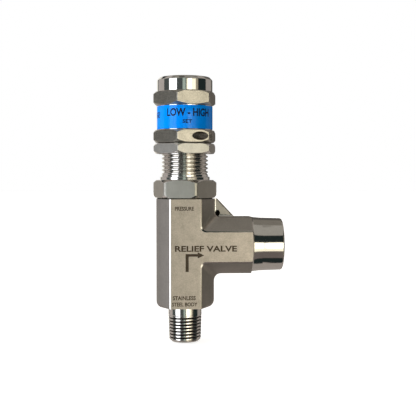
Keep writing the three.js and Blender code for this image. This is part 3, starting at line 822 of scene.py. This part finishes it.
def cap_outside(edge):
    """Corners from the cap's lower rim up to the middle of its top."""
    head = CAP_UPPER_HEX[1]
    inset, drop = HEAD_CHAMFER
    chamfer_top = CAP_TOP - 0.15
    chamfer_foot = chamfer_top - drop
    barrel = [(CAP_BARREL, CAP_LOWER_HEX[1], 0.1), (CAP_BARREL, CAP_UPPER_HEX[0], 0.1)]
    # two rows next to the ends of the head's wall keep its shading straight
    wall = [(HEX_FACE, head, 0.1), (HEX_FACE, head + 0.3), (HEX_FACE, chamfer_foot - 0.35)]
    top = [(HEX_FACE, chamfer_foot, 0.5), (HEX_FACE - inset, chamfer_top, 0.4), (8.6, CAP_TOP),
           (0, CAP_TOP)]
    return (hex_side(edge, *CAP_LOWER_HEX, *CAP_LOWER_FACES) + barrel
            + hex_side(edge, *CAP_UPPER_HEX, *CAP_UPPER_FACES) + wall + top)


def cap():
    angles = hex_angles(CAP_TURN)
    edge = hex_radius(angles, CAP_TURN, HEX_FLATS, CAP_HEX_BLANK)
    inside = [(0, CAP_ROOF), (CAP_BORE, CAP_ROOF, 0.8), (CAP_BORE, CAP_BOTTOM + 0.6),
              (CAP_BORE + 0.6, CAP_BOTTOM)]
    shell = Shell()
    shell.sweep(*rounded(inside + cap_outside(edge), steps=5), angles)
    drill = turned_mesh("drill", [
        (0, -10), (WIRE_HOLE_RADIUS, -10), (WIRE_HOLE_RADIUS, 10), (0, 10)], columns=48, turn=wire_hole())
    return combined(shell.mesh("cap"), drill, "DIFFERENCE")


def cap_regions(centre, normal):
    """0 polished, 1 milled flanks, 2 inside the wire hole, a drilled grain with painted shade, 3 brushed
    chamfers.
    """
    found = hex_regions([CAP_LOWER_HEX, CAP_UPPER_HEX])(centre, normal)
    sloped = (np.abs(normal[:, 2]) > 0.3) & (centre[:, 2] < CAP_UPPER_HEX[1] + 0.1)
    found[sloped] = 3
    back = np.array(wire_hole().inverted())
    local = centre @ back[:3, :3].T + back[:3, 3]
    along = np.array(wire_hole().to_3x3())[:, 2]
    # the wall of the wire hole gets a drilled grain mottled down to black, which is painted shade
    inside = np.hypot(local[:, 0], local[:, 1]) < WIRE_HOLE_RADIUS + 0.01
    found[inside & (np.abs(normal @ along) < 0.1)] = 2
    return found


piece("adjusting_cap", cap(), "cap_assembly", [POLISHED, MILLED, DRILLED_AND_SHADE, BRUSHED],
      ["cap"], choose=cap_regions)


def lock_nut():
    angles = hex_angles(NUT_TURN)
    edge = hex_radius(angles, NUT_TURN, HEX_FLATS, CAP_HEX_BLANK)
    shell = Shell()
    shell.sweep(*rounded(
        [(CAP_BORE, NUT_TOP - 0.5), (CAP_BORE, NUT_BOTTOM + 0.5), (CAP_BORE + 0.5, NUT_BOTTOM)]
        + hex_side(edge, NUT_BOTTOM, NUT_TOP, *NUT_FACES)
        + [(CAP_BORE + 0.5, NUT_TOP), (CAP_BORE, NUT_TOP - 0.5)]), angles)
    return shell.mesh("lock_nut")


piece("hex_lock_nut", lock_nut(), "lock_nut_body", [TURNED, NUT], ["lock_nut"],
      choose=hex_regions([(NUT_BOTTOM, NUT_TOP)]))

BAND_INNER = 11.27
BAND_OUTER = LABEL_RADIUS - 0.04
LABEL_MARGIN = 0.22


def label():
    """Film round the barrel, whose end laps over its start at the back."""
    angles = np.radians(np.arange(0, 360, 2.5) + 0.01)
    lap = np.clip((np.radians(196) - angles) / np.radians(2), 0, 1) * (angles > np.radians(180))
    outer = BAND_OUTER + 0.03 * lap
    bottom, top = LABEL_BOTTOM + LABEL_MARGIN, LABEL_TOP - LABEL_MARGIN
    middle = (bottom + top) / 2
    shell = Shell()
    shell.sweep(*closed_profile([
        (BAND_INNER, middle), (BAND_INNER, bottom, 0.04), (outer, bottom, 0.08),
        (outer, top, 0.08), (BAND_INNER, top, 0.04)]), angles)
    return shell.mesh("label")


def round_band(text, across, up, slices):
    """Letters bent round the label, between two angles in degrees and two heights."""
    share, faces = lettering(text, slices, weight=0.03)
    angle = np.radians(across[0] + share[:, 0] * (across[1] - across[0]))
    radius = BAND_OUTER - 0.1 + 0.115 * share[:, 2]
    z = up[0] + share[:, 1] * (up[1] - up[0])
    return np.stack([radius * np.sin(angle), -radius * np.cos(angle), z], -1), faces


def label_print():
    shell = Shell()
    shell.add(*round_band("LOW - HIGH", (-40, 55), (92.2, 95.4), 40))
    shell.add(*round_band("SET", (-6, 13), (89.4, 90.9), 10))
    shell.add(*round_band("RANGE", (-112, -63), (91.8, 94.2), 24))
    return shell.mesh("label_print")


piece("label_band", label(), "cap_assembly", [BLUE], ["cap_label"])
piece("label_print", label_print(), "cap_assembly", [INK])

# ---------------------------------------------------------------- turned pieces inside


def section(name):
    """Half of a turned CAD node's section in the XZ plane: its corners in order, and if they close."""
    work = bmesh.new()
    work.from_mesh(frame["nodes"][name].data)
    for normal, both in (((1, 0, 0), False), ((0, 1, 0), True)):
        bmesh.ops.bisect_plane(work, geom=work.verts[:] + work.edges[:] + work.faces[:], dist=1e-7,
                               plane_co=(0, 0, 0), plane_no=normal, clear_inner=True, clear_outer=both)
    bmesh.ops.remove_doubles(work, verts=work.verts, dist=1e-6)
    ends = [v for v in work.verts if len(v.link_edges) == 1]
    here, path, used = (ends or list(work.verts))[0], [], set()
    while here is not None:
        path.append((here.co.x / MM, here.co.z / MM))
        edge = next((e for e in here.link_edges if e not in used), None)
        used.add(edge)
        here = edge.other_vert(here) if edge else None
    work.free()
    return path, not ends


def without_straights(path):
    """Leaves out the points of an open path that lie on a straight line between their neighbours."""
    kept = [path[0]]
    for here, after in zip(path[1:-1], path[2:]):
        a, b = np.subtract(here, kept[-1]), np.subtract(after, here)
        if abs(a[0] * b[1] - a[1] * b[0]) > 1e-3 * np.linalg.norm(a) * np.linalg.norm(b):
            kept.append(here)
    return kept + [path[-1]]


def turned_again(name, fillet):
    """A turned CAD node with rounded edges and many more sides."""
    path, closes = section(name)
    if closes:
        start = tuple(np.mean(path[:2], axis=0))
        path = [start] + path[1:-1] + [path[0], start]
    corners = [(r, z, fillet) for r, z in without_straights(path)]
    shell = Shell()
    shell.sweep(*rounded(corners), round_angles())
    return shell.mesh(name)


INSIDE = {
    "seat_insert": 0.12, "seat_insert_o_ring": 0.5, "seat_insert_backup_ring": 0.08, "seat_disc": 0.2,
    "disc_retainer": 0.15, "stem": 0.15, "gland_retainer": 0.12, "stem_backup_ring_lower": 0.08,
    "stem_quad_ring": 0.3, "stem_backup_ring_upper": 0.08, "bonnet_o_ring": 0.5,
    "bonnet_backup_ring": 0.08, "lower_spring_support": 0.2, "upper_spring_support": 0.2,
}
INSIDE_LOOKS = {"turned_steel": TURNED, "soft_seal": RUBBER, "ptfe": PTFE}

for part in frame["record"]["subparts"]:
    if part["node"] in INSIDE:
        name, slot = part["node"], part["material_slot"]
        piece("fine_" + name, turned_again(name, INSIDE[name]), frame["nodes"][name]["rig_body"],
              [INSIDE_LOOKS[slot]], [name])

# ---------------------------------------------------------------- spring


def spring():
    """Coil with closed, ground ends."""
    turns, wire, mean = 11, 1.0, 5.3
    low, high, ground = SPRING_BOTTOM + wire * 0.8, SPRING_TOP - wire * 0.8, SPRING_TOP - 0.02
    closed_pitch = 2 * wire + 0.05
    open_pitch = (high - low - 2 * closed_pitch) / (turns - 2)
    around, sides = 40, 14
    points, faces = [], []
    for i in range(turns * around + 1):
        turn = i / around
        closed = min(turn, 1) + max(turn - turns + 1, 0)
        height = low + closed_pitch * closed + open_pitch * min(max(turn - 1, 0), turns - 2)
        angle = FULL_TURN * turn
        for k in range(sides):
            a = FULL_TURN * k / sides
            r = mean + wire * math.cos(a)
            z = min(max(height + wire * math.sin(a), SPRING_BOTTOM), ground)
            points.append((r * math.cos(angle), r * math.sin(angle), z))
    for i in range(turns * around):
        for k in range(sides):
            a, b = i * sides + k, i * sides + (k + 1) % sides
            faces.append((a, b, b + sides, a + sides))
    faces += [tuple(range(sides)), tuple(turns * around * sides + k for k in range(sides))]
    shell = Shell()
    shell.add(points, faces)
    return shell.mesh("spring")


made_spring = piece("set_spring", spring(), "stem_assembly", [WIRE], ["spring"])
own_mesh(made_spring)

# ---------------------------------------------------------------- camera, light and stage

CAMERA_PLACE = (-10.21, -339.9, 68.5)
CAMERA_AIM = (9.61, 0, 55.02)
CAMERA_ROLL = 0.02
LENS = 71.15


def camera():
    """Stands level with the bonnet's thread, a little to the left of the front flat."""
    data = bpy.data.cameras.new("camera")
    data.lens = LENS
    obj = bpy.data.objects.new("camera", data)
    bpy.context.scene.collection.objects.link(obj)
    place, aim = Vector(CAMERA_PLACE) * MM, Vector(CAMERA_AIM) * MM
    look = (place - aim).to_track_quat("Z", "Y").to_matrix()
    roll = Matrix.Rotation(math.radians(CAMERA_ROLL), 3, "Z")
    obj.location = place
    obj.rotation_euler = (look @ roll).to_euler()
    bpy.context.scene.camera = obj


def window(tree, source, low, high, soft):
    """1 between low and high, fading to 0 over `soft` outside them."""
    up, down = node(tree, "ShaderNodeMapRange"), node(tree, "ShaderNodeMapRange")
    for made, a, b in ((up, low - soft, low), (down, high + soft, high)):
        made.interpolation_type = "SMOOTHSTEP"
        made.inputs["From Min"].default_value, made.inputs["From Max"].default_value = a, b
        tree.links.new(source, made.inputs["Value"])
    both = node(tree, "ShaderNodeMath", operation="MULTIPLY")
    tree.links.new(up.outputs["Result"], both.inputs[0])
    tree.links.new(down.outputs["Result"], both.inputs[1])
    return both.outputs[0]


# what surrounds the object: azimuth from -Y towards +X and elevation in degrees, then colour
STUDIO = [
    ((-138, -97), (-70, 60), (0.56, 0.5, 0.48)),
    ((97, 138), (-70, 60), (0.45, 0.41, 0.38)),
    ((-96, -11), (-60, 38), (0.09, 0.105, 0.105)),
    ((-67, -37), (-35, 18), (2.7, 2.8, 3.0)),
    ((-9, 1.3), (-30, 30), (0.5, 0.6, 0.54)),
    ((12.3, 43.3), (-25, 8), (1.75, 1.63, 1.3)),
    ((7.5, 14), (-25, 6), (1.75, 1.63, 1.3)),
    ((13, 26), (-13, 7), (4.2, 4.0, 3.4)),
    ((43, 54), (-40, 30), (0.45, 0.4, 0.3)),
    ((138, 182), (-20, 40), (0.13, 0.12, 0.11)),
    ((-110, 110), (42, 76), (0.47, 0.45, 0.41)),
    ((110, 250), (44, 86), (0.26, 0.24, 0.21)),
    ((-185, 185), (78, 95), (0.34, 0.32, 0.29)),
    ((-90, 90), (-56, -28), (0.2, 0.17, 0.16)),
    ((-185, 185), (-95, -80), (0.48, 0.43, 0.4)),
    ((95, 265), (-85, -20), (0.45, 0.41, 0.38)),
    ((182, 212), (-20, 30), (1.0, 0.97, 0.9)),
]
AMBIENT = (0.02, 0.03, 0.03)
# softness of the panels' edges in degrees
SOFT_ACROSS, SOFT_UP = 2.5, 4
# strength for matt surfaces, from their right and from their left; the bright steel doesn't mirror it
MATT_RIGHT, MATT_LEFT = 0.5, 2.8


def in_degrees(tree, source):
    made = node(tree, "ShaderNodeMath", operation="DEGREES")
    tree.links.new(source.outputs[0], made.inputs[0])
    return made.outputs[0]


def azimuth_of(tree, parts):
    """Azimuth of a direction in degrees, from -180 to 180 and again from 0 to 360."""
    front = node(tree, "ShaderNodeMath", operation="MULTIPLY")
    front.inputs[1].default_value = -1
    tree.links.new(parts.outputs["Y"], front.inputs[0])
    azimuth = node(tree, "ShaderNodeMath", operation="ARCTAN2")
    tree.links.new(parts.outputs["X"], azimuth.inputs[0])
    tree.links.new(front.outputs[0], azimuth.inputs[1])
    signed = in_degrees(tree, azimuth)
    wrapped = node(tree, "ShaderNodeMath", operation="FLOORED_MODULO")
    wrapped.inputs[1].default_value = 360
    tree.links.new(signed, wrapped.inputs[0])
    return signed, wrapped.outputs[0]


def elevation_of(tree, parts):
    made = node(tree, "ShaderNodeMath", operation="ARCSINE")
    tree.links.new(parts.outputs["Z"], made.inputs[0])
    return in_degrees(tree, made)


def panels(tree, parts):
    """Colour of the studio in a direction: the brightest of its panels there, over the ambient light."""
    signed, wrapped = azimuth_of(tree, parts)
    elevation = elevation_of(tree, parts)
    total = None
    for (left, right), (low, high), colour in STUDIO:
        around = wrapped if right > 180 else signed
        mask = node(tree, "ShaderNodeMath", operation="MULTIPLY")
        tree.links.new(window(tree, around, left, right, SOFT_ACROSS), mask.inputs[0])
        tree.links.new(window(tree, elevation, low, high, SOFT_UP), mask.inputs[1])
        tinted = node(tree, "ShaderNodeVectorMath", operation="SCALE")
        tinted.inputs[0].default_value = colour
        tree.links.new(mask.outputs[0], tinted.inputs["Scale"])
        if total is None:
            joined = node(tree, "ShaderNodeVectorMath", operation="ADD")
            joined.inputs[1].default_value = AMBIENT
        else:
            joined = node(tree, "ShaderNodeVectorMath", operation="MAXIMUM")
            tree.links.new(total, joined.inputs[1])
        tree.links.new(tinted.outputs[0], joined.inputs[0])
        total = joined.outputs[0]
    return total


def matt_strength(tree, parts, path):
    """1, or for diffuse rays a strength that grows towards the left."""
    leftward = node(tree, "ShaderNodeMapRange")
    for name, value in (("From Min", -1), ("From Max", 1), ("To Min", MATT_LEFT), ("To Max", MATT_RIGHT)):
        leftward.inputs[name].default_value = value
    strength = node(tree, "ShaderNodeMix")
    strength.inputs["A"].default_value = 1
    tree.links.new(parts.outputs["X"], leftward.inputs["Value"])
    tree.links.new(path.outputs["Is Diffuse Ray"], strength.inputs["Factor"])
    tree.links.new(leftward.outputs["Result"], strength.inputs["B"])
    return strength.outputs["Result"]


def studio():
    """Surroundings that the object mirrors, behind a plain white backdrop."""
    world = bpy.data.worlds.new("studio")
    bpy.context.scene.world = world
    world.use_nodes = True
    tree = world.node_tree
    tree.nodes.clear()
    place, parts = node(tree, "ShaderNodeTexCoord"), node(tree, "ShaderNodeSeparateXYZ")
    tree.links.new(place.outputs["Generated"], parts.inputs[0])
    lit, seen = node(tree, "ShaderNodeBackground"), node(tree, "ShaderNodeBackground")
    seen.inputs["Color"].default_value = (1, 1, 1, 1)
    path, pick = node(tree, "ShaderNodeLightPath"), node(tree, "ShaderNodeMixShader")
    tree.links.new(panels(tree, parts), lit.inputs["Color"])
    tree.links.new(matt_strength(tree, parts, path), lit.inputs["Strength"])
    out = node(tree, "ShaderNodeOutputWorld")
    tree.links.new(path.outputs["Is Camera Ray"], pick.inputs[0])
    tree.links.new(lit.outputs[0], pick.inputs[1])
    tree.links.new(seen.outputs[0], pick.inputs[2])
    tree.links.new(pick.outputs[0], out.inputs["Surface"])


def floor():
    mesh = bpy.data.meshes.new("floor")
    half, level = 3.0, -0.0005
    square = ((-half, -half), (half, -half), (half, half), (-half, half))
    mesh.from_pydata([(x, y, level) for x, y in square], [], [(0, 1, 2, 3)])
    obj = bpy.data.objects.new("floor", mesh)
    bpy.context.scene.collection.objects.link(obj)
    material = bpy.data.materials.new("floor")
    material.use_nodes = True
    shader = material.node_tree.nodes["Principled BSDF"]
    shader.inputs["Base Color"].default_value = (0.9, 0.9, 0.9, 1)
    shader.inputs["Roughness"].default_value = 0.9
    shader.inputs["Emission Color"].default_value = (1, 1, 1, 1)
    shader.inputs["Emission Strength"].default_value = 0.75
    mesh.materials.append(material)
    obj.visible_glossy = False
    obj.visible_diffuse = False


camera()
studio()
floor()
bpy.context.scene.view_settings.view_transform = "Standard"
